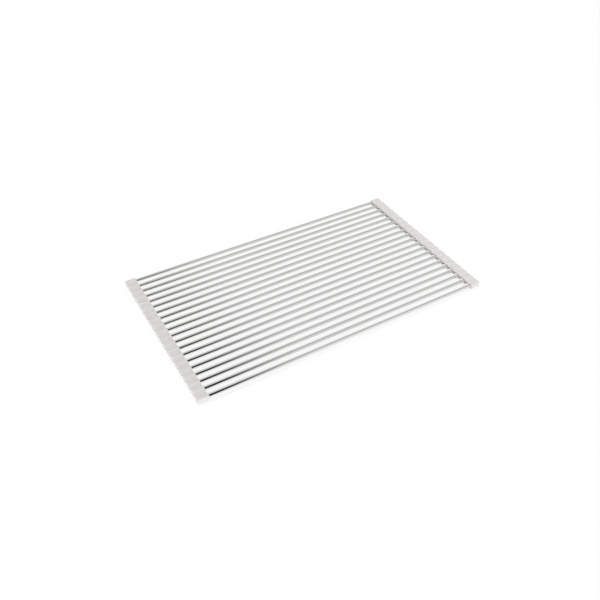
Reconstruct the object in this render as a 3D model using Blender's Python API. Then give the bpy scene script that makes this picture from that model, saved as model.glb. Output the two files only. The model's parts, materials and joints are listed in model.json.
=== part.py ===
"""Roll-up dish drying rack: a row of steel tubes joined by a silicone strip at each end.

Lengths are in metres and +Z is up. X runs along the tubes, and Y from the front tube to the back one.
The origin lies under the middle of the rack, on the surface that the rack rests on.

Each strip is one flexible moulding on the real rack. Here it is parted at its webs, so that every
tube and its two cuffs form one link, and the links turn about the webs when the rack rolls up. The
link that the rolled rack rests on stays where it is, and the others hang on it, forwards and backwards.
"""

import math

import bmesh
import bpy
from mathutils import Vector

# Overall size
RACK_LENGTH = 0.528
RACK_WIDTH = 0.300
TUBE_COUNT = 20

# Tube that the rack rests on when it is rolled up, counted from the front
RESTING_TUBE = 12

# Steel tube
TUBE_DIAMETER = 0.0060
TUBE_WALL = 0.0005

# Silicone strip: walls round the socket that holds a tube's end
STRIP_LENGTH = 0.0180
CROWN_WALL = 0.0006
SOLE_WALL = 0.0016
SIDE_WALL = 0.0016
END_WALL = 0.0022

# Silicone strip: roundings of a cuff's crown, of its sole, of its outer end and of its mouth
CROWN_RADIUS = 0.0030
SOLE_RADIUS = 0.0010
END_RADIUS = 0.0008
MOUTH_RADIUS = 0.0003

# Silicone strip: the web between two cuffs, just below their crowns and drawn in at both ends
WEB_THICKNESS = 0.0025
WEB_DROP = 0.0006
WEB_RECESS = 0.0006

# Clearances
SOCKET_GAP = 0.0003
HINGE_GAP = 0.0003

# How far a cutting tool runs past the face that it opens
CUT_OVERRUN = 0.0020

# Number of faces round a tube, round each corner of a cuff and round its end's rounding
TUBE_SIDES = 20
CROWN_STEPS = 4
SOLE_STEPS = 2
END_STEPS = 1
SMOOTH_ANGLE = math.radians(40)

# The outer end's rounding stays within this share of the sole's rounding, and the mouth's rounding
# within this share of the crown's wall
END_ROUNDING_SHARE = 0.8

# Sizes that follow from the ones above
TUBE_RADIUS = TUBE_DIAMETER / 2
SOCKET_RADIUS = TUBE_RADIUS + SOCKET_GAP
CUFF_WIDTH = 2 * (SOCKET_RADIUS + SIDE_WALL)
AXIS_HEIGHT = SOLE_WALL + SOCKET_RADIUS
CUFF_HEIGHT = AXIS_HEIGHT + SOCKET_RADIUS + CROWN_WALL
PITCH = (RACK_WIDTH - CUFF_WIDTH) / (TUBE_COUNT - 1)
HINGE_HEIGHT = CUFF_HEIGHT - WEB_DROP
TUBE_LENGTH = RACK_LENGTH - 2 * (END_WALL + SOCKET_GAP)
FRONT_TUBE_Y = -PITCH * (TUBE_COUNT - 1) / 2


def clear_scene():
    """Remove every object that the file already holds."""
    for thing in list(bpy.data.objects):
        bpy.data.objects.remove(thing, do_unlink=True)


def principled(name, colour, roughness, metallic):
    """A plain Principled material."""
    material = bpy.data.materials.new(name)
    material.use_nodes = True
    shader = material.node_tree.nodes["Principled BSDF"]
    shader.inputs["Base Color"].default_value = (*colour, 1.0)
    shader.inputs["Roughness"].default_value = roughness
    shader.inputs["Metallic"].default_value = metallic
    material.diffuse_color = (*colour, 1.0)
    return material


def skin(name, rings, ends_meet, material):
    """A closed mesh through equal rings of points: the last ring meets the first, or both ends are capped."""
    mesh = bpy.data.meshes.new(name)
    work = bmesh.new()
    loops = [[work.verts.new(point) for point in ring] for ring in rings]
    neighbours = list(zip(loops, loops[1:]))
    if ends_meet:
        neighbours.append((loops[-1], loops[0]))
    for near, far in neighbours:
        for index, corner in enumerate(near):
            following = (index + 1) % len(near)
            work.faces.new((corner, near[following], far[following], far[index]))
    if not ends_meet:
        work.faces.new(loops[0])
        work.faces.new(loops[-1])
    bmesh.ops.recalc_face_normals(work, faces=work.faces)
    work.to_mesh(mesh)
    work.free()
    mesh.materials.append(material)
    shade(mesh)
    return mesh


def shade(mesh):
    """Smooth shading that keeps the sharp edges."""
    mesh.shade_smooth()
    mesh.set_sharp_from_angle(angle=SMOOTH_ANGLE)


def circle(x, radius):
    """Ring of points round the tube's axis at one place along it."""
    turns = [2 * math.pi * step / TUBE_SIDES for step in range(TUBE_SIDES)]
    return [(x, radius * math.cos(turn), radius * math.sin(turn)) for turn in turns]


def tube_mesh(material):
    """Hollow tube along X, its middle at the origin, open at both ends."""
    half = TUBE_LENGTH / 2
    bore = TUBE_RADIUS - TUBE_WALL
    rings = [circle(-half, TUBE_RADIUS), circle(half, TUBE_RADIUS), circle(half, bore), circle(-half, bore)]
    return skin("tube", rings, True, material)


def corner(centre_y, centre_z, radius, start, steps):
    """Quarter circle of points that starts at an angle and runs anticlockwise."""
    turns = [start + math.pi / 2 * step / steps for step in range(steps + 1)]
    return [(centre_y + radius * math.cos(turn), centre_z + radius * math.sin(turn)) for turn in turns]


def cuff_outline(inset):
    """Cross-section of a cuff round the tube's axis, drawn in by an inset: round crown, flat sole."""
    crown = min(CROWN_RADIUS, CUFF_WIDTH / 2) - inset
    sole = SOLE_RADIUS - inset
    top = CUFF_HEIGHT - AXIS_HEIGHT - inset - crown
    bottom = sole + inset - AXIS_HEIGHT
    side_at_crown = CUFF_WIDTH / 2 - inset - crown
    side_at_sole = CUFF_WIDTH / 2 - inset - sole
    quarter = math.pi / 2
    return [
        *corner(side_at_crown, top, crown, 0, CROWN_STEPS),
        *corner(-side_at_crown, top, crown, quarter, CROWN_STEPS),
        *corner(-side_at_sole, bottom, sole, 2 * quarter, SOLE_STEPS),
        *corner(side_at_sole, bottom, sole, 3 * quarter, SOLE_STEPS),
    ]


def end_rounding(radius):
    """Rounded edge of a cuff's end: how far each ring lies in from the end, and how far it is drawn in."""
    turns = [math.pi / 2 * step / END_STEPS for step in range(END_STEPS + 1)]
    return [(radius * (1 - math.cos(turn)), radius * (1 - math.sin(turn))) for turn in turns]


def cuff_body_mesh(material):
    """Cuff without its webs and socket: the outer end at x = 0, the mouth at the strip's length."""
    outer = end_rounding(min(END_RADIUS, END_ROUNDING_SHARE * SOLE_RADIUS))
    mouth = end_rounding(min(MOUTH_RADIUS, END_ROUNDING_SHARE * CROWN_WALL))
    mouth = [(STRIP_LENGTH - x, inset) for x, inset in reversed(mouth)]
    rings = [[(x, y, z) for y, z in cuff_outline(inset)] for x, inset in outer + mouth]
    return skin("cuff_body", rings, False, material)


def box_mesh(name, low, high, material):
    """Box between two corners."""
    xs, ys, zs = zip(low, high)
    rings = [[(x, ys[0], zs[0]), (x, ys[1], zs[0]), (x, ys[1], zs[1]), (x, ys[0], zs[1])] for x in xs]
    return skin(name, rings, False, material)


def add_object(name, mesh, parent=None, place=(0, 0, 0), turn=0.0):
    """Object for a mesh, or an empty, linked to the scene at a place in the rack and under its parent."""
    thing = bpy.data.objects.new(name, mesh)
    bpy.context.scene.collection.objects.link(thing)
    thing.location = place
    if parent:
        bpy.context.view_layer.update()
        thing.parent = parent
        thing.location = Vector(place) - parent.matrix_world.translation
    thing.rotation_euler = (0, 0, turn)
    return thing


def combine(thing, tool, operation):
    """Boolean modifier that joins a tool to an object or cuts it away."""
    modifier = thing.modifiers.new(operation.lower(), "BOOLEAN")
    modifier.operation = operation
    modifier.solver = "EXACT"
    modifier.object = tool
    tool.hide_render = True
    tool.display_type = "WIRE"


def cuff_mesh(name, front_web, back_web, material):
    """Cuff with half a web towards each neighbour that it has, and a blind socket for the tube."""
    half_web = (PITCH - HINGE_GAP) / 2
    web_top = HINGE_HEIGHT - AXIS_HEIGHT
    web = box_mesh(
        "web",
        (WEB_RECESS, -half_web if front_web else 0, web_top - WEB_THICKNESS),
        (STRIP_LENGTH - WEB_RECESS, half_web if back_web else 0, web_top),
        material,
    )
    socket_ends = [circle(END_WALL, SOCKET_RADIUS), circle(STRIP_LENGTH + CUT_OVERRUN, SOCKET_RADIUS)]
    socket = skin("socket", socket_ends, False, material)
    shape = add_object("shape", cuff_body_mesh(material))
    web_tool = add_object("web_tool", web)
    socket_tool = add_object("socket_tool", socket)
    combine(shape, web_tool, "UNION")
    combine(shape, socket_tool, "DIFFERENCE")
    evaluated = shape.evaluated_get(bpy.context.evaluated_depsgraph_get())
    mesh = bpy.data.meshes.new_from_object(evaluated)
    mesh.name = name
    shade(mesh)
    for helper in (shape, web_tool, socket_tool):
        bpy.data.objects.remove(helper, do_unlink=True)
    return mesh


def tube_point(number):
    """Middle of a tube's axis, with the tubes counted from the front."""
    return Vector((0, FRONT_TUBE_Y + PITCH * (number - 1), AXIS_HEIGHT))


def carrying_hinge(number):
    """Number of the hinge that carries a tube: the one on the resting tube's side of it."""
    if number == RESTING_TUBE:
        return None
    return number - 1 if number > RESTING_TUBE else number


def add_hinge(number, hinges):
    """Empty on the hinge line of the web behind a tube, under the hinge that carries the web."""
    steady_tube = number if number >= RESTING_TUBE else number + 1
    hinge_line = (tube_point(number) + tube_point(number + 1)) / 2
    hinge_line.z = HINGE_HEIGHT
    empty = add_object(f"hinge_{number:02d}", None, hinges.get(carrying_hinge(steady_tube)), hinge_line)
    empty.empty_display_size = PITCH / 2
    return empty


def add_link(number, hinges, meshes):
    """One tube and its two cuffs, under the hinge that carries them."""
    hinge = hinges.get(carrying_hinge(number))
    left, right = "middle", "middle"
    if number == 1:
        left, right = "first", "last"
    if number == TUBE_COUNT:
        left, right = "last", "first"
    middle = tube_point(number)
    to_end = Vector((RACK_LENGTH / 2, 0, 0))
    add_object(f"tube_{number:02d}", meshes["tube"], hinge, middle)
    add_object(f"left_cuff_{number:02d}", meshes[left], hinge, middle - to_end)
    add_object(f"right_cuff_{number:02d}", meshes[right], hinge, middle + to_end, math.pi)


def build():
    """Make the whole rack: hinges outwards from the resting tube, then the links."""
    clear_scene()
    steel = principled("stainless_steel", (0.62, 0.61, 0.59), 0.28, 1.0)
    silicone = principled("grey_silicone", (0.62, 0.61, 0.58), 0.55, 0.0)
    meshes = {
        "tube": tube_mesh(steel),
        "first": cuff_mesh("cuff_first", False, True, silicone),
        "middle": cuff_mesh("cuff_middle", True, True, silicone),
        "last": cuff_mesh("cuff_last", True, False, silicone),
    }
    hinges = {}
    for number in [*range(RESTING_TUBE, TUBE_COUNT), *range(RESTING_TUBE - 1, 0, -1)]:
        hinges[number] = add_hinge(number, hinges)
    for number in range(1, TUBE_COUNT + 1):
        add_link(number, hinges, meshes)
    bpy.context.view_layer.update()


build()
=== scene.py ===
"""Looks of the roll-up dish drying rack: satin steel tubes in two soft grey silicone strips.

Lengths are in metres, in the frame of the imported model: X runs along the tubes, Y from the front tube
to the back one, +Z is up, and the rack rests on the floor at z = 0.
"""
import json
import math

import bpy
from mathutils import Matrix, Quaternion, Vector


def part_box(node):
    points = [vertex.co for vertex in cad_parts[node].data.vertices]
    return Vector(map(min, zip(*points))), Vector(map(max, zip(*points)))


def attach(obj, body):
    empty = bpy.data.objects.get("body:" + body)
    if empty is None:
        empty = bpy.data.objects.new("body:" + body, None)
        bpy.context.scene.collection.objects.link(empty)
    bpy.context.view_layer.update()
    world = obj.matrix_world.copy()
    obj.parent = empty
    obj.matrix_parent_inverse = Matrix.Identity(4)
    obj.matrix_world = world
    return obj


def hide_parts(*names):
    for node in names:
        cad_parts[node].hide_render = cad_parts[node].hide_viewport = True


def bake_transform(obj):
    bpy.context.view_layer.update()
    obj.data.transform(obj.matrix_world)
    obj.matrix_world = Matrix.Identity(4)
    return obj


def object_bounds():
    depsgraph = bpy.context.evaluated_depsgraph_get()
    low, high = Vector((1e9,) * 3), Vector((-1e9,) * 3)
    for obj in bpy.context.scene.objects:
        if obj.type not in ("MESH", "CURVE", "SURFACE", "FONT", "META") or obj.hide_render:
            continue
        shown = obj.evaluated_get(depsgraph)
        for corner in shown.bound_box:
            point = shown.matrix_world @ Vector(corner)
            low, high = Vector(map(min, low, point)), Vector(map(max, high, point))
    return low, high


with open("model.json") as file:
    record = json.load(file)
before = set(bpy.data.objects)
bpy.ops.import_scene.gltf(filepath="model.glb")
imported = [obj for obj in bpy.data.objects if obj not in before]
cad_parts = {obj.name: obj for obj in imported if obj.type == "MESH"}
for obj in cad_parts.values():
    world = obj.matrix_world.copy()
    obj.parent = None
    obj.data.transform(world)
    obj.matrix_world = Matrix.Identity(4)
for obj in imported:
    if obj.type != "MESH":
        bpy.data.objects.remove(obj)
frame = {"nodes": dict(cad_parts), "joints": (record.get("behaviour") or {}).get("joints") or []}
cad_low, cad_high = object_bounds()

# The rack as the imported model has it
TUBE_COUNT = sum(1 for name in frame["nodes"] if name.startswith("tube_"))
TUBE_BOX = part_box("tube_01")
TUBE_LENGTH = TUBE_BOX[1].x - TUBE_BOX[0].x
TUBE_DIAMETER = TUBE_BOX[1].z - TUBE_BOX[0].z
AXIS_HEIGHT = (TUBE_BOX[1].z + TUBE_BOX[0].z) / 2
LAST_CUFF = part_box(f"left_cuff_{TUBE_COUNT:02d}")
STRIP_LENGTH = LAST_CUFF[1].x - LAST_CUFF[0].x
CUFF_HEIGHT = LAST_CUFF[1].z - LAST_CUFF[0].z
RACK_END = cad_high.x
FRONT_TUBE_Y = (TUBE_BOX[0].y + TUBE_BOX[1].y) / 2
PITCH = -2 * FRONT_TUBE_Y / (TUBE_COUNT - 1)
CUFF_WIDTH = 2 * (cad_high.y + FRONT_TUBE_Y)
HINGE_HEIGHT = frame["joints"][0]["pos_m"][2]

# Steel tube
TUBE_WALL = 0.0005
TUBE_EDGE_ROUNDING = 0.00015
TUBE_SIDES = 64
TUBE_EDGE_STEPS = 3

# Silicone strip: cuffs round the tubes' ends
END_WALL = 0.0022
CROWN_RADIUS = 0.0030
SOLE_RADIUS = 0.0010
CORNER_STEPS = 10
END_ROUNDING = 0.0009
MOUTH_ROUNDING = 0.0003
END_STEPS = 6
BORE_PLAY = 0.00003
LIP_RADIUS = 0.00022
LIP_STEPS = 5
BORE_SIDES = 64
OVERRUN = 0.0020

# Silicone strip: webs between the cuffs
WEB_THICKNESS = 0.0025
WEB_RECESS = 0.0006
WEB_EDGE_RADIUS = 0.0007
WEB_EDGE_STEPS = 5
WEB_FILLET = 0.0004
ARCH_FILLET = 0.0023
CROWN_FILLET = 0.0015
WEB_STATIONS = 33
WEB_ROOT = 0.0016

# Clean-up of the finished meshes
WELD_DISTANCE = 0.00001
SMOOTH_ANGLE = math.radians(38)

# Usual lowest and highest values of a noise
NOISE_LOW = 0.3
NOISE_HIGH = 0.7

# Steel's look: grain and streaks drawn out along the tube, and slow changes in its polish
DRAWN_OUT = (0.012, 1.0, 1.0)
GRAIN_SCALE = 5200.0
GRAIN_STRENGTH = 0.25
GRAIN_DEPTH = 0.000008
STREAK_SCALE = 900.0
POLISH_SCALE = 38.0
STEEL_DARK = (0.69, 0.685, 0.675, 1.0)
STEEL_PALE = (0.76, 0.755, 0.745, 1.0)
STEEL_SMOOTHEST = 0.04
STEEL_ROUGHEST = 0.08

# Silicone's look: slight unevenness under a fine matt skin
SILICONE_IOR = 1.41
CLOUD_SCALE = 160.0
CLOUD_STRENGTH = 0.3
CLOUD_DEPTH = 0.00008
SKIN_SCALE = 5200.0
SKIN_STRENGTH = 0.4
SKIN_DEPTH = 0.00002
SILICONE_DARK = (0.675, 0.665, 0.65, 1.0)
SILICONE_PALE = (0.715, 0.705, 0.69, 1.0)
SILICONE_SMOOTHEST = 0.50
SILICONE_ROUGHEST = 0.60

# Camera, as the photograph was taken
CAMERA_PLACE = Vector((-0.4573, -0.7215, 0.7344))
CAMERA_AIM = Vector((-0.0278, -0.0340, 0.0049))
CAMERA_ROLL = math.radians(1.774)
CAMERA_ANGLE = math.radians(49.16)
SENSOR_WIDTH = 36.0

# Floor: share of its sharp mirror image, its even white and the share that takes light and shade, as the
# camera and metal see it, and the share of light that it sends back to the rack
FLOOR_SIZE = 40.0
FLOOR_MIRROR = 0.12
FLOOR_GLOW = 0.93
FLOOR_SHADE = 0.07
FLOOR_BOUNCE = 0.95

WHITE = (1.0, 1.0, 1.0, 1.0)

# Light on the rack from the studio's walls and ceiling
HORIZON_LEVEL = 1.42
ZENITH_LEVEL = 0.55

# Low soft lamp beside the camera, and a small one above the right end
SIDE_LAMP_PLACE = Vector((-1.3, -2.1, 0.75))
SIDE_LAMP_SIZE = 1.2
SIDE_LAMP_POWER = 20.0
END_LAMP_PLACE = Vector((0.62, 0.0, 0.42))
END_LAMP_SIZE = 0.30
END_LAMP_POWER = 0.55

# Dark panel that hangs above the front tube, which only metal mirrors. Its right edge runs aslant, and its
# back and right edges fade out
PANEL_REACH = 20.0
PANEL_HEIGHT = 0.30
PANEL_BACK = -0.12
PANEL_BACK_SOFTNESS = 0.04
PANEL_RIGHT = -0.105
PANEL_RIGHT_SOFTNESS = 0.13
PANEL_SLANT = 0.24

# The studio in metal's mirror images, from low on the walls up to the ceiling
WALL_LEVEL = 1.20
CEILING_LEVEL = 0.66
WALL_TOP = 0.20
CEILING_EDGE = 0.70


def socket(sockets, key):
    """Socket by number, or by name among those that the node's settings leave in use."""
    if isinstance(key, int):
        return sockets[key]
    return next(found for found in sockets if found.enabled and key in (found.name, found.identifier))


def add_node(tree, kind, inputs=None, output=0, **settings):
    """Output of a new node with its settings and its inputs: values, sockets to link, or lists of these."""
    node = tree.nodes.new(kind)
    for key, value in settings.items():
        setattr(node, key, value)
    for key, value in (inputs or {}).items():
        target = socket(node.inputs, key)
        if isinstance(value, bpy.types.NodeSocket):
            tree.links.new(value, target)
        elif isinstance(value, list):
            for source in value:
                tree.links.new(source, target)
        else:
            target.default_value = value
    return socket(node.outputs, output)


def calc(tree, operation, *values):
    """Arithmetic on numbers in a node tree."""
    return add_node(tree, "ShaderNodeMath", dict(enumerate(values)), operation=operation)


def vector_calc(tree, operation, *values, **named):
    """Arithmetic on vectors in a node tree."""
    inputs = dict(enumerate(values))
    inputs.update(named)
    return add_node(tree, "ShaderNodeVectorMath", inputs, operation=operation)


def combine(tree, x=0.0, y=0.0, z=0.0):
    """Vector from three numbers in a node tree."""
    return add_node(tree, "ShaderNodeCombineXYZ", {"X": x, "Y": y, "Z": z})


def split(tree, vector):
    """The three numbers of a vector in a node tree, by axis."""
    return add_node(tree, "ShaderNodeSeparateXYZ", {"Vector": vector}).node.outputs


def mix(tree, share, first, second):
    """Number between two others, by the second one's share."""
    return add_node(tree, "ShaderNodeMix", {"Factor": share, "A": first, "B": second}, "Result")


def round_off(tree, radius, ratio, turn):
    """How far a round edge falls short of its corner at a turn, by the turn's sine or cosine."""
    return calc(tree, "MULTIPLY", radius, calc(tree, "SUBTRACT", 1.0, calc(tree, ratio, turn)))


def third_side(tree, longest, other):
    """Third side of a right-angled triangle, from its longest side and one other."""
    squares = [calc(tree, "MULTIPLY", side, side) for side in (longest, other)]
    return calc(tree, "SQRT", calc(tree, "SUBTRACT", *squares))


def shape_tree(name, inputs):
    """Geometry tree with one named input for each size, and its input sockets by name."""
    tree = bpy.data.node_groups.new(name, "GeometryNodeTree")
    tree.interface.new_socket("Geometry", in_out="OUTPUT", socket_type="NodeSocketGeometry")
    kinds = {"place": "NodeSocketVector", "material": "NodeSocketMaterial", "with web": "NodeSocketBool"}
    for key in inputs:
        kind = kinds.get(key, "NodeSocketInt" if key.endswith("steps") else "NodeSocketFloat")
        tree.interface.new_socket(key, in_out="INPUT", socket_type=kind)
    sources = tree.nodes.new("NodeGroupInput").outputs
    return tree, {key: sources[key] for key in inputs}


def finish_tree(tree, shape, material):
    """Ends a geometry tree with smooth shading, real instances and its material."""
    smooth = add_node(tree, "GeometryNodeSetShadeSmooth", {"Geometry": shape})
    real = add_node(tree, "GeometryNodeRealizeInstances", {"Geometry": smooth})
    dressed = add_node(tree, "GeometryNodeSetMaterial", {"Geometry": real, "Material": material})
    result = tree.nodes.new("NodeGroupOutput")
    tree.links.new(dressed, result.inputs[0])


def bake_modifiers(thing):
    """Turns an object's modifiers into its mesh."""
    evaluated = thing.evaluated_get(bpy.context.evaluated_depsgraph_get())
    mesh = bpy.data.meshes.new_from_object(evaluated)
    old = thing.data
    thing.modifiers.clear()
    thing.data = mesh
    bpy.data.meshes.remove(old)
    mesh.name = thing.name


def grow(tree, name, values):
    """Plain mesh object from a geometry tree, with even shading across its flat faces."""
    thing = bpy.data.objects.new(name, bpy.data.meshes.new(name))
    bpy.context.scene.collection.objects.link(thing)
    modifier = thing.modifiers.new("shape", "NODES")
    modifier.node_group = tree
    for item in tree.interface.items_tree:
        if item.in_out == "INPUT":
            modifier[item.identifier] = values[item.name]
    bake_modifiers(thing)
    thing.data.set_sharp_from_angle(angle=SMOOTH_ANGLE)
    weighted = thing.modifiers.new("even shading", "WEIGHTED_NORMAL")
    weighted.keep_sharp = True
    bake_modifiers(thing)
    return thing


def path_along_x(tree, count, x):
    """Straight path with a number of points, each at its own x."""
    line = add_node(tree, "GeometryNodeCurvePrimitiveLine", {"End": (1.0, 0.0, 0.0)})
    points = add_node(tree, "GeometryNodeResampleCurve", {"Curve": line, "Count": count})
    placed = add_node(tree, "GeometryNodeSetPosition", {"Geometry": points, "Position": combine(tree, x)})
    return add_node(tree, "GeometryNodeSetCurveNormal", {"Curve": placed}, mode="Z_UP")


def point_number(tree):
    """Number of each point along a path, from 0."""
    return add_node(tree, "GeometryNodeInputIndex")


def tube_tree():
    """Hollow tube along X: its wall's section, with rounded edges, carried round the axis."""
    tree, size = shape_tree("steel_tube", [
        "length", "diameter", "wall", "edge rounding", "side steps", "edge steps", "place", "material",
    ])
    radius = calc(tree, "MULTIPLY", calc(tree, "SUBTRACT", size["diameter"], size["wall"]), 0.5)
    section = add_node(tree, "GeometryNodeCurvePrimitiveQuadrilateral",
                       {"Width": size["wall"], "Height": size["length"]})
    section = add_node(tree, "GeometryNodeFilletCurve", {
        "Curve": section, "Radius": size["edge rounding"], "Count": size["edge steps"],
    }, mode="POLY")
    ring = add_node(tree, "GeometryNodeCurvePrimitiveCircle",
                    {"Resolution": size["side steps"], "Radius": radius})
    wall = add_node(tree, "GeometryNodeCurveToMesh", {"Curve": ring, "Profile Curve": section})
    tube = add_node(tree, "GeometryNodeTransform",
                    {"Geometry": wall, "Rotation": (0.0, math.pi / 2, 0.0), "Translation": size["place"]})
    finish_tree(tree, tube, size["material"])
    return tree


def cuff_body(tree, size):
    """Cuff from its outer end at x = 0 to its mouth: a round-crowned section, drawn in at both ends."""
    half_width = calc(tree, "MULTIPLY", size["width"], 0.5)
    last = calc(tree, "ADD", calc(tree, "MULTIPLY", size["end steps"], 2.0), 1.0)
    number = point_number(tree)
    from_end = calc(tree, "MINIMUM", number, calc(tree, "SUBTRACT", last, number))
    turn = calc(tree, "MULTIPLY", calc(tree, "DIVIDE", from_end, size["end steps"]), math.pi / 2)
    at_mouth = calc(tree, "GREATER_THAN", number, calc(tree, "MULTIPLY", last, 0.5))
    radius = mix(tree, at_mouth, size["end rounding"], size["mouth rounding"])
    depth = round_off(tree, radius, "COSINE", turn)
    inset = round_off(tree, radius, "SINE", turn)
    from_mouth = calc(tree, "SUBTRACT", size["length"], calc(tree, "MULTIPLY", depth, 2.0))
    x = calc(tree, "ADD", depth, calc(tree, "MULTIPLY", at_mouth, from_mouth))
    path = path_along_x(tree, calc(tree, "ADD", last, 1.0), x)
    scale = calc(tree, "SUBTRACT", 1.0, calc(tree, "DIVIDE", inset, half_width))

    section = add_node(tree, "GeometryNodeCurvePrimitiveQuadrilateral",
                       {"Width": size["width"], "Height": size["height"]})
    up = split(tree, add_node(tree, "GeometryNodeInputPosition"))["Y"]
    rounding = mix(tree, calc(tree, "GREATER_THAN", up, 0.0), size["sole radius"], size["crown radius"])
    section = add_node(tree, "GeometryNodeFilletCurve", {
        "Curve": section, "Radius": rounding, "Count": size["corner steps"],
    }, mode="POLY")
    drop = calc(tree, "SUBTRACT", size["axis height"], calc(tree, "MULTIPLY", size["height"], 0.5))
    section = add_node(tree, "GeometryNodeTransform", {
        "Geometry": section, "Rotation": (0.0, 0.0, math.pi), "Translation": combine(tree, 0.0, drop),
    })
    return add_node(tree, "GeometryNodeCurveToMesh",
                    {"Curve": path, "Profile Curve": section, "Scale": scale, "Fill Caps": True})


def fillet_spread(tree, distance, radius):
    """How far a fillet stands out at a distance from the wall that it rises to."""
    inside = calc(tree, "SUBTRACT", radius, calc(tree, "MAXIMUM", distance, 0.0))
    inside = calc(tree, "MAXIMUM", inside, 0.0)
    return calc(tree, "SUBTRACT", radius, third_side(tree, radius, inside))


def crown_rise(tree, size, from_axis):
    """Rise of a web's top towards a crown, in a fillet tangent to both, at a distance from the axis."""
    fillet, crown, drop = size["crown fillet"], size["crown radius"], size["web drop"]
    side = calc(tree, "SUBTRACT", calc(tree, "MULTIPLY", size["width"], 0.5), crown)
    doubled = calc(tree, "MULTIPLY", calc(tree, "ADD", crown, fillet), 2.0)
    run = calc(tree, "SQRT", calc(tree, "MULTIPLY", drop, calc(tree, "SUBTRACT", doubled, drop)))
    short = calc(tree, "MAXIMUM", calc(tree, "SUBTRACT", calc(tree, "ADD", side, run), from_axis), 0.0)
    reach = calc(tree, "DIVIDE", calc(tree, "MULTIPLY", fillet, run), calc(tree, "ADD", crown, fillet))
    short = calc(tree, "MINIMUM", short, reach)
    return calc(tree, "SUBTRACT", fillet, third_side(tree, fillet, short))


def web_spread(tree, size, half_width, half_span, half_thickness):
    """How far each point of a web's skin moves out, in the fillets where the web meets its two cuffs."""
    parts = split(tree, add_node(tree, "GeometryNodeInputPosition"))
    near = calc(tree, "SUBTRACT", parts["X"], half_width)
    far = calc(tree, "SUBTRACT", calc(tree, "SUBTRACT", size["pitch"], half_width), parts["X"])
    nearest = calc(tree, "MINIMUM", near, far)
    spread = fillet_spread(tree, nearest, size["web fillet"])
    arch = fillet_spread(tree, nearest, size["arch fillet"])
    rise = crown_rise(tree, size, calc(tree, "ADD", nearest, half_width))

    # Outwards is away from the slab's core, the box between the middles of its rounded edges
    core_y = calc(tree, "SUBTRACT", half_span, size["web edge radius"])
    core_z = calc(tree, "SUBTRACT", half_thickness, size["web edge radius"])
    corner = combine(tree, 0.0, core_y, core_z)
    across = combine(tree, 0.0, parts["Y"], parts["Z"])
    core = vector_calc(tree, "MINIMUM", across, corner)
    core = vector_calc(tree, "MAXIMUM", core, vector_calc(tree, "SCALE", corner, Scale=-1.0))
    out = split(tree, vector_calc(tree, "NORMALIZE", vector_calc(tree, "SUBTRACT", across, core)))
    lift = mix(tree, calc(tree, "GREATER_THAN", out["Z"], 0.0), arch, rise)
    sideways = calc(tree, "MULTIPLY", out["Y"], spread)
    return combine(tree, 0.0, sideways, calc(tree, "MULTIPLY", out["Z"], lift))


def web_slab(tree, size):
    """Web behind a cuff: a rounded slab just below the crowns, with fillets where it meets the cuffs."""
    half_width = calc(tree, "MULTIPLY", size["width"], 0.5)
    start = calc(tree, "SUBTRACT", half_width, size["web root"])
    reach = calc(tree, "SUBTRACT", size["pitch"], calc(tree, "MULTIPLY", start, 2.0))
    share = calc(tree, "DIVIDE", point_number(tree), calc(tree, "SUBTRACT", size["web steps"], 1.0))
    wave = calc(tree, "COSINE", calc(tree, "MULTIPLY", share, math.pi))
    eased = calc(tree, "SUBTRACT", 0.5, calc(tree, "MULTIPLY", wave, 0.5))
    along = calc(tree, "ADD", start, calc(tree, "MULTIPLY", eased, reach))
    path = path_along_x(tree, size["web steps"], along)

    span = calc(tree, "SUBTRACT", size["length"], calc(tree, "MULTIPLY", size["web recess"], 2.0))
    section = add_node(tree, "GeometryNodeCurvePrimitiveQuadrilateral",
                       {"Width": span, "Height": size["web thickness"]})
    section = add_node(tree, "GeometryNodeFilletCurve", {
        "Curve": section, "Radius": size["web edge radius"], "Count": size["web edge steps"],
    }, mode="POLY")
    slab = add_node(tree, "GeometryNodeCurveToMesh",
                    {"Curve": path, "Profile Curve": section, "Fill Caps": True})
    half_span = calc(tree, "MULTIPLY", span, 0.5)
    half_thickness = calc(tree, "MULTIPLY", size["web thickness"], 0.5)
    offset = web_spread(tree, size, half_width, half_span, half_thickness)
    slab = add_node(tree, "GeometryNodeSetPosition", {"Geometry": slab, "Offset": offset})

    crown_height = calc(tree, "SUBTRACT", size["height"], size["axis height"])
    web_height = calc(tree, "SUBTRACT", crown_height, size["web drop"])
    web_height = calc(tree, "SUBTRACT", web_height, half_thickness)
    return add_node(tree, "GeometryNodeTransform", {
        "Geometry": slab, "Rotation": combine(tree, 0.0, 0.0, size["web turn"]),
        "Translation": combine(tree, calc(tree, "MULTIPLY", size["length"], 0.5), 0.0, web_height),
    })


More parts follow.
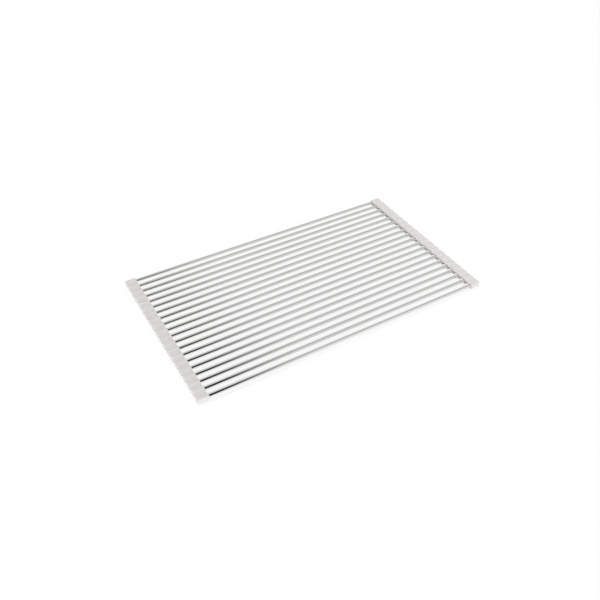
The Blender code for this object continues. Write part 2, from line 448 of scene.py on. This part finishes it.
def bore_tool(tree, size):
    """Cutter for the blind bore that holds a tube's end, opening in a rounded lip at the mouth."""
    number = point_number(tree)
    step = calc(tree, "DIVIDE", calc(tree, "SUBTRACT", number, 1.0), size["lip steps"])
    step = calc(tree, "MINIMUM", calc(tree, "MAXIMUM", step, 0.0), 1.0)
    turn = calc(tree, "MULTIPLY", step, math.pi / 2)
    depth = round_off(tree, size["lip radius"], "SINE", turn)
    spread = round_off(tree, size["lip radius"], "COSINE", turn)
    first = calc(tree, "LESS_THAN", number, 0.5)
    last = calc(tree, "GREATER_THAN", number, calc(tree, "ADD", size["lip steps"], 1.5))
    x = mix(tree, first, calc(tree, "SUBTRACT", size["length"], depth), size["end wall"])
    x = calc(tree, "ADD", x, calc(tree, "MULTIPLY", size["overrun"], last))
    path = path_along_x(tree, calc(tree, "ADD", size["lip steps"], 3.0), x)
    scale = calc(tree, "ADD", 1.0, calc(tree, "DIVIDE", spread, size["bore radius"]))
    ring = add_node(tree, "GeometryNodeCurvePrimitiveCircle",
                    {"Resolution": size["bore steps"], "Radius": size["bore radius"]})
    return add_node(tree, "GeometryNodeCurveToMesh",
                    {"Curve": path, "Profile Curve": ring, "Scale": scale, "Fill Caps": True})


def cuff_tree():
    """One cuff of a strip with its bore, and with the web that joins it to the cuff behind."""
    tree, size = shape_tree("strip_cuff", [
        "length", "width", "height", "axis height", "crown radius", "sole radius", "corner steps",
        "end rounding", "mouth rounding", "end steps", "end wall", "bore radius", "bore steps",
        "lip radius", "lip steps", "overrun", "pitch", "web thickness", "web drop", "web recess",
        "web edge radius", "web edge steps", "web fillet", "arch fillet", "crown fillet", "web steps",
        "web root", "web turn", "with web", "turn", "place", "material",
    ])
    body = cuff_body(tree, size)
    web = web_slab(tree, size)
    joined = add_node(tree, "GeometryNodeMeshBoolean",
                      {"Mesh 2": [body, web]}, operation="UNION", solver="EXACT")
    solid = add_node(tree, "GeometryNodeSwitch",
                     {"Switch": size["with web"], "False": body, "True": joined}, input_type="GEOMETRY")
    bored = add_node(tree, "GeometryNodeMeshBoolean", {
        "Mesh 1": solid, "Mesh 2": [bore_tool(tree, size)],
    }, operation="DIFFERENCE", solver="EXACT")
    welded = add_node(tree, "GeometryNodeMergeByDistance", {"Geometry": bored, "Distance": WELD_DISTANCE})
    placed = add_node(tree, "GeometryNodeTransform", {
        "Geometry": welded, "Rotation": combine(tree, 0.0, 0.0, size["turn"]), "Translation": size["place"],
    })
    finish_tree(tree, placed, size["material"])
    return tree


def noise(tree, place, scale, detail, roughness):
    """Noise at a place, around 0.5."""
    return add_node(tree, "ShaderNodeTexNoise", {
        "Vector": place, "Scale": scale, "Detail": detail, "Roughness": roughness,
    }, "Fac")


def toned(tree, value, low, high, dark, pale):
    """Colour that goes from dark to pale as a value goes from low to high."""
    tone = add_node(tree, "ShaderNodeValToRGB", {"Fac": value}, "Color")
    first, last = tone.node.color_ramp.elements
    first.position, first.color = low, dark
    last.position, last.color = high, pale
    return tone


def spread_out(tree, noise_value, low, high):
    """Number from low to high, as noise goes through its usual values."""
    return add_node(tree, "ShaderNodeMapRange", {
        "Value": noise_value, "From Min": NOISE_LOW, "From Max": NOISE_HIGH, "To Min": low, "To Max": high,
    })


def raised(tree, height, strength, depth, **base):
    """Surface direction with small heights and hollows, over another such direction if one is given."""
    return add_node(tree, "ShaderNodeBump",
                    {"Height": height, "Strength": strength, "Distance": depth, **base}, "Normal")


def dress(name, look):
    """Material whose main shader has a look's inputs, which are values or sockets of its tree."""
    material = bpy.data.materials.new(name)
    material.use_nodes = True
    tree = material.node_tree
    shader = tree.nodes["Principled BSDF"]
    for key, value in look(tree).items():
        if isinstance(value, bpy.types.NodeSocket):
            tree.links.new(value, shader.inputs[key])
        else:
            shader.inputs[key].default_value = value
    return material


def satin_steel(tree):
    """Drawn stainless steel: fine grain along the tube and slow changes in its polish."""
    place = add_node(tree, "ShaderNodeTexCoord", output="Object")
    drawn = add_node(tree, "ShaderNodeMapping", {"Vector": place, "Scale": DRAWN_OUT})
    grain = noise(tree, drawn, GRAIN_SCALE, 3.0, 0.65)
    streaks = noise(tree, drawn, STREAK_SCALE, 2.0, 0.5)
    polish = noise(tree, place, POLISH_SCALE, 2.0, 0.5)
    wear = calc(tree, "MULTIPLY_ADD", grain, 0.5, calc(tree, "MULTIPLY", polish, 0.5))
    return {
        "Metallic": 1.0,
        "Base Color": toned(tree, streaks, 0.25, 0.75, STEEL_DARK, STEEL_PALE),
        "Roughness": spread_out(tree, wear, STEEL_SMOOTHEST, STEEL_ROUGHEST),
        "Normal": raised(tree, grain, GRAIN_STRENGTH, GRAIN_DEPTH),
    }


def grey_silicone(tree):
    """Moulded silicone: pale warm grey, soft sheen, fine matt skin over slight unevenness."""
    place = add_node(tree, "ShaderNodeTexCoord", output="Object")
    cloud = noise(tree, place, CLOUD_SCALE, 3.0, 0.55)
    skin = noise(tree, place, SKIN_SCALE, 2.0, 0.6)
    uneven = raised(tree, cloud, CLOUD_STRENGTH, CLOUD_DEPTH)
    return {
        "IOR": SILICONE_IOR,
        "Base Color": toned(tree, cloud, NOISE_LOW, NOISE_HIGH, SILICONE_DARK, SILICONE_PALE),
        "Roughness": spread_out(tree, cloud, SILICONE_SMOOTHEST, SILICONE_ROUGHEST),
        "Normal": raised(tree, skin, SKIN_STRENGTH, SKIN_DEPTH, Normal=uneven),
    }


def tube_y(number):
    """Y of a tube's axis, with the tubes counted from the front."""
    return FRONT_TUBE_Y + PITCH * (number - 1)


def make_tubes(steel):
    """One hollow tube for each link."""
    tree = tube_tree()
    for number in range(1, TUBE_COUNT + 1):
        tube = grow(tree, f"steel_tube_{number:02d}", {
            "length": TUBE_LENGTH, "diameter": TUBE_DIAMETER, "wall": TUBE_WALL,
            "edge rounding": TUBE_EDGE_ROUNDING, "side steps": TUBE_SIDES,
            "edge steps": TUBE_EDGE_STEPS, "place": (0.0, tube_y(number), AXIS_HEIGHT), "material": steel,
        })
        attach(tube, f"link_{number:02d}")
        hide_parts(f"tube_{number:02d}")


def make_strips(silicone):
    """Both strips, cuff by cuff. Each cuff but the last carries the web behind it, and the last is attached
    to its tube's link.
    """
    tree = cuff_tree()
    for side, outwards in (("left", -1), ("right", 1)):
        turn = math.pi if outwards > 0 else 0.0
        for number in range(1, TUBE_COUNT + 1):
            last = number == TUBE_COUNT
            cuff = grow(tree, f"{side}_strip_{number:02d}", {
                "length": STRIP_LENGTH, "width": CUFF_WIDTH, "height": CUFF_HEIGHT,
                "axis height": AXIS_HEIGHT, "crown radius": CROWN_RADIUS, "sole radius": SOLE_RADIUS,
                "corner steps": CORNER_STEPS, "end rounding": END_ROUNDING,
                "mouth rounding": MOUTH_ROUNDING, "end steps": END_STEPS, "end wall": END_WALL,
                "bore radius": TUBE_DIAMETER / 2 + BORE_PLAY, "bore steps": BORE_SIDES,
                "lip radius": LIP_RADIUS, "lip steps": LIP_STEPS, "overrun": OVERRUN,
                "pitch": PITCH, "web thickness": WEB_THICKNESS, "web drop": CUFF_HEIGHT - HINGE_HEIGHT,
                "web recess": WEB_RECESS, "web edge radius": WEB_EDGE_RADIUS,
                "web edge steps": WEB_EDGE_STEPS, "web fillet": WEB_FILLET, "arch fillet": ARCH_FILLET,
                "crown fillet": CROWN_FILLET, "web steps": WEB_STATIONS, "web root": WEB_ROOT,
                "web turn": math.pi / 2 - turn, "with web": not last, "turn": turn,
                "place": (outwards * RACK_END, tube_y(number), AXIS_HEIGHT), "material": silicone,
            })
            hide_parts(f"{side}_cuff_{number:02d}")
            if last:
                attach(cuff, f"link_{number:02d}")
                continue
            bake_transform(cuff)


def add_camera():
    """Camera that sees the rack as the photograph does."""
    data = bpy.data.cameras.new("camera")
    data.sensor_fit = "HORIZONTAL"
    data.sensor_width = SENSOR_WIDTH
    data.angle = CAMERA_ANGLE
    camera = bpy.data.objects.new("camera", data)
    bpy.context.scene.collection.objects.link(camera)
    camera.location = CAMERA_PLACE
    level = (CAMERA_AIM - CAMERA_PLACE).to_track_quat("-Z", "Y")
    camera.rotation_euler = (level @ Quaternion((0.0, 0.0, 1.0), CAMERA_ROLL)).to_euler()
    bpy.context.scene.camera = camera


def seen_directly(tree):
    """1 for what the camera sees, also by way of metal or glass, else 0."""
    path = tree.nodes.new("ShaderNodeLightPath").outputs
    seen = calc(tree, "MAXIMUM", path["Is Camera Ray"], path["Is Glossy Ray"])
    return calc(tree, "MAXIMUM", seen, path["Is Transmission Ray"])


def grey(level):
    """Colour without a hue."""
    return level, level, level, 1.0


def add_floor():
    """Glossy floor that looks white and still shows the rack's shade and its faint mirror image."""
    mesh = bpy.data.meshes.new("floor")
    half = FLOOR_SIZE / 2
    corners = [(-half, -half), (half, -half), (half, half), (-half, half)]
    mesh.from_pydata([(x, y, 0.0) for x, y in corners], [], [(0, 1, 2, 3)])
    floor = bpy.data.objects.new("floor", mesh)
    bpy.context.scene.collection.objects.link(floor)
    material = bpy.data.materials.new("white_floor")
    material.use_nodes = True
    tree = material.node_tree
    tree.nodes.clear()
    seen = seen_directly(tree)
    bounce = add_node(tree, "ShaderNodeBsdfDiffuse", {"Color": grey(FLOOR_BOUNCE)})
    shaded = add_node(tree, "ShaderNodeBsdfDiffuse", {"Color": grey(FLOOR_SHADE)})
    glow = add_node(tree, "ShaderNodeEmission", {"Color": WHITE, "Strength": FLOOR_GLOW})
    pale = add_node(tree, "ShaderNodeAddShader", {0: shaded, 1: glow})
    surface = add_node(tree, "ShaderNodeMixShader", {0: seen, 1: bounce, 2: pale})
    mirror = add_node(tree, "ShaderNodeBsdfGlossy", {"Color": WHITE, "Roughness": 0.0})
    final = add_node(tree, "ShaderNodeMixShader", {0: FLOOR_MIRROR, 1: surface, 2: mirror})
    output = tree.nodes.new("ShaderNodeOutputMaterial")
    tree.links.new(final, output.inputs["Surface"])
    mesh.materials.append(material)


def add_studio():
    """Bright soft surroundings. Metal mirrors pale walls under a dimmer ceiling, the floor plain white."""
    world = bpy.data.worlds.new("studio")
    bpy.context.scene.world = world
    world.use_nodes = True
    tree = world.node_tree
    tree.nodes.clear()
    path = tree.nodes.new("ShaderNodeLightPath").outputs
    up = split(tree, add_node(tree, "ShaderNodeTexCoord", output="Generated"))["Z"]
    soft = add_node(tree, "ShaderNodeMapRange", {
        "Value": up, "From Min": 0.0, "From Max": 1.0, "To Min": HORIZON_LEVEL, "To Max": ZENITH_LEVEL,
    }, interpolation_type="LINEAR")
    mirrored = add_node(tree, "ShaderNodeMapRange", {
        "Value": up, "From Min": WALL_TOP, "From Max": CEILING_EDGE,
        "To Min": WALL_LEVEL, "To Max": CEILING_LEVEL,
    }, interpolation_type="SMOOTHSTEP")
    plain = calc(tree, "MAXIMUM", path["Is Camera Ray"], path["Is Singular Ray"])
    level = mix(tree, plain, mix(tree, path["Is Glossy Ray"], soft, mirrored), 1.0)
    background = add_node(tree, "ShaderNodeBackground", {"Color": WHITE, "Strength": level})
    output = tree.nodes.new("ShaderNodeOutputWorld")
    tree.links.new(background, output.inputs["Surface"])


def faded_edge(tree, value, edge, softness):
    """1 below an edge, 0 above it, with a soft change between."""
    return add_node(tree, "ShaderNodeMapRange", {
        "Value": value, "From Min": edge - softness, "From Max": edge + softness,
        "To Min": 1.0, "To Max": 0.0,
    }, interpolation_type="SMOOTHSTEP")


def add_panel():
    """Dark panel for the dark line along the tubes. It casts no shadow, and the floor doesn't mirror it."""
    mesh = bpy.data.meshes.new("dark_panel")
    reach, back = PANEL_REACH, PANEL_BACK + PANEL_BACK_SOFTNESS
    corners = [(-reach, -reach), (reach, -reach), (reach, back), (-reach, back)]
    mesh.from_pydata([(x, y, PANEL_HEIGHT) for x, y in corners], [], [(0, 1, 2, 3)])
    panel = bpy.data.objects.new("dark_panel", mesh)
    bpy.context.scene.collection.objects.link(panel)
    panel.visible_camera = False
    panel.visible_diffuse = False
    panel.visible_transmission = False
    panel.visible_shadow = False
    material = bpy.data.materials.new("dark_panel")
    material.use_nodes = True
    tree = material.node_tree
    tree.nodes.clear()
    parts = split(tree, add_node(tree, "ShaderNodeTexCoord", output="Object"))
    aslant = calc(tree, "MULTIPLY_ADD", parts["Y"], PANEL_SLANT, parts["X"])
    dark = calc(tree, "MULTIPLY", faded_edge(tree, parts["Y"], PANEL_BACK, PANEL_BACK_SOFTNESS),
                faded_edge(tree, aslant, PANEL_RIGHT, PANEL_RIGHT_SOFTNESS))
    path = tree.nodes.new("ShaderNodeLightPath").outputs
    dark = calc(tree, "MULTIPLY", dark, calc(tree, "SUBTRACT", 1.0, path["Is Singular Ray"]))
    clear = add_node(tree, "ShaderNodeBsdfTransparent")
    black = add_node(tree, "ShaderNodeEmission", {"Strength": 0.0})
    final = add_node(tree, "ShaderNodeMixShader", {0: dark, 1: clear, 2: black})
    output = tree.nodes.new("ShaderNodeOutputMaterial")
    tree.links.new(final, output.inputs["Surface"])
    mesh.materials.append(material)


def add_lamp(name, place, aim, size, power):
    """Soft round lamp that neither the camera nor metal sees."""
    data = bpy.data.lights.new(name, "AREA")
    data.shape = "DISK"
    data.size = size
    data.energy = power
    lamp = bpy.data.objects.new(name, data)
    bpy.context.scene.collection.objects.link(lamp)
    lamp.location = place
    lamp.rotation_euler = (aim - place).to_track_quat("-Z", "Y").to_euler()
    lamp.visible_camera = False
    lamp.visible_glossy = False


steel = dress("satin_steel", satin_steel)
silicone = dress("grey_silicone", grey_silicone)
add_camera()
add_studio()
add_panel()
add_lamp("side_lamp", SIDE_LAMP_PLACE, Vector(), SIDE_LAMP_SIZE, SIDE_LAMP_POWER)
add_lamp("end_lamp", END_LAMP_PLACE, Vector((RACK_END, 0.0, 0.0)), END_LAMP_SIZE, END_LAMP_POWER)
add_floor()
make_tubes(steel)
make_strips(silicone)
bpy.context.scene.view_settings.view_transform = "Standard"
